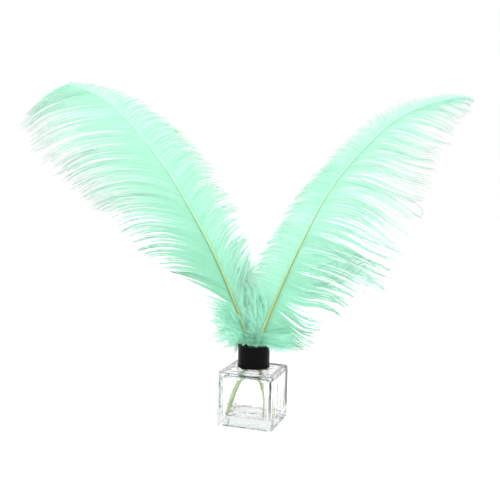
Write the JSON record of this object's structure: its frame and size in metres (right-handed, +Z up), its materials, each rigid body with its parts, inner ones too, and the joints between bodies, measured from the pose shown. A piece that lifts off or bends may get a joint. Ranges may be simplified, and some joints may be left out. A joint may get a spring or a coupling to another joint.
{
  "type": "ostrich feathers in a bottle",
  "caption": "Long dyed ostrich feathers with soft drooping barbs, crossed by their quills in the collared neck of a square clear glass bottle and spreading in a V.",
  "frame": {"origin": "centre of the bottle's flat base, on the surface it stands on", "axes": "+Z up through the bottle's neck, -Y out of the bottle's front wall, +X to the right of that wall; the feathers spread in an upright plane turned 18.5 degrees about +Z from +X"},
  "size_m": [0.4178, 0.1315, 0.3074],
  "materials": {
    "clear_glass": "polished",
    "black_plastic": "satin",
    "dyed_feather": "matte"
  },
  "bodies": {
    "root": {"glass_bottle": "clear_glass", "black_collar": "black_plastic", "left_feather": "dyed_feather", "right_feather": "dyed_feather"}
  },
  "joints": []
}
